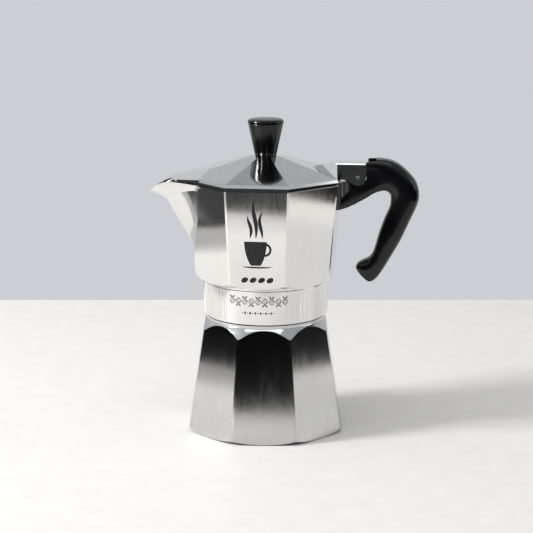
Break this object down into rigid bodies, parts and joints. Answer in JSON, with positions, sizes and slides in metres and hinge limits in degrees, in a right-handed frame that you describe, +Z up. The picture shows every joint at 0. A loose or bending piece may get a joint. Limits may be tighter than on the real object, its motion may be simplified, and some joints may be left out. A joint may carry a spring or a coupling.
{
  "type": "moka pot",
  "caption": "Eight-sided stovetop coffee maker: water chamber, funnel and filter below a screwed-on spouted upper chamber with hinged lid, knob and side handle.",
  "frame": {"origin": "centre of the flat base, on the table", "axes": "+Z up along the pot's axis, +X towards the handle, -X towards the spout, -Y the front face"},
  "size_m": [0.1864, 0.1126, 0.2168],
  "materials": {
    "cast_aluminium": "polished",
    "sheet_aluminium": "satin",
    "steel": "satin",
    "valve_brass": "satin",
    "seal_rubber": "matte",
    "seal_fibre": "matte",
    "black_plastic": "glossy"
  },
  "bodies": {
    "boiler": {"boiler": "cast_aluminium", "valve_body": "valve_brass", "valve_washer": "seal_fibre", "valve_cap": "valve_brass", "valve_spring": "steel"},
    "valve_stem": {"valve_stem": "valve_brass"},
    "funnel": {"funnel_basket": "sheet_aluminium", "funnel_tube": "sheet_aluminium", "funnel_strainer": "sheet_aluminium"},
    "gasket": {"gasket": "seal_rubber"},
    "filter": {"filter_plate": "sheet_aluminium"},
    "collector": {"collector": "cast_aluminium", "column": "cast_aluminium", "handle": "black_plastic", "handle_screw": "steel", "hinge_pin": "steel"},
    "lid": {"lid": "cast_aluminium", "knob": "black_plastic", "knob_insert": "valve_brass", "knob_screw": "steel"}
  },
  "joints": [
    {"name": "funnel_lift", "type": "slide", "parent": "boiler", "child": "funnel", "axis": [0, 0, 1], "range_m": [0, 0.09]},
    {"name": "top_lift", "type": "slide", "parent": "funnel", "child": "gasket", "axis": [0, 0, 1], "range_m": [0, 0.08]},
    {"name": "thread_rise", "type": "slide", "parent": "gasket", "child": "filter", "axis": [0, 0, 1], "range_m": [0, 0.0101]},
    {"name": "collector_turn", "type": "hinge", "parent": "filter", "child": "collector", "pos_m": [0, 0, 0.09], "axis": [0, 0, 1], "range_deg": [0, 900]},
    {"name": "lid_hinge", "type": "hinge", "parent": "collector", "child": "lid", "pos_m": [0.0637, 0, 0.1777], "axis": [0, 1, 0], "range_deg": [0, 100]},
    {"name": "valve_stem_travel", "type": "slide", "parent": "boiler", "child": "valve_stem", "axis": [-0.0949, 0.9851, 0.1432], "range_m": [0, 0.002], "stiffness_N_per_m": 1500, "springref_m": -0.004, "deforming": ["valve_spring"]}
  ],
  "couplings": [
    {"joint": "thread_rise", "follows": "collector_turn", "m_per_rad": 0.00063662}
  ]
}
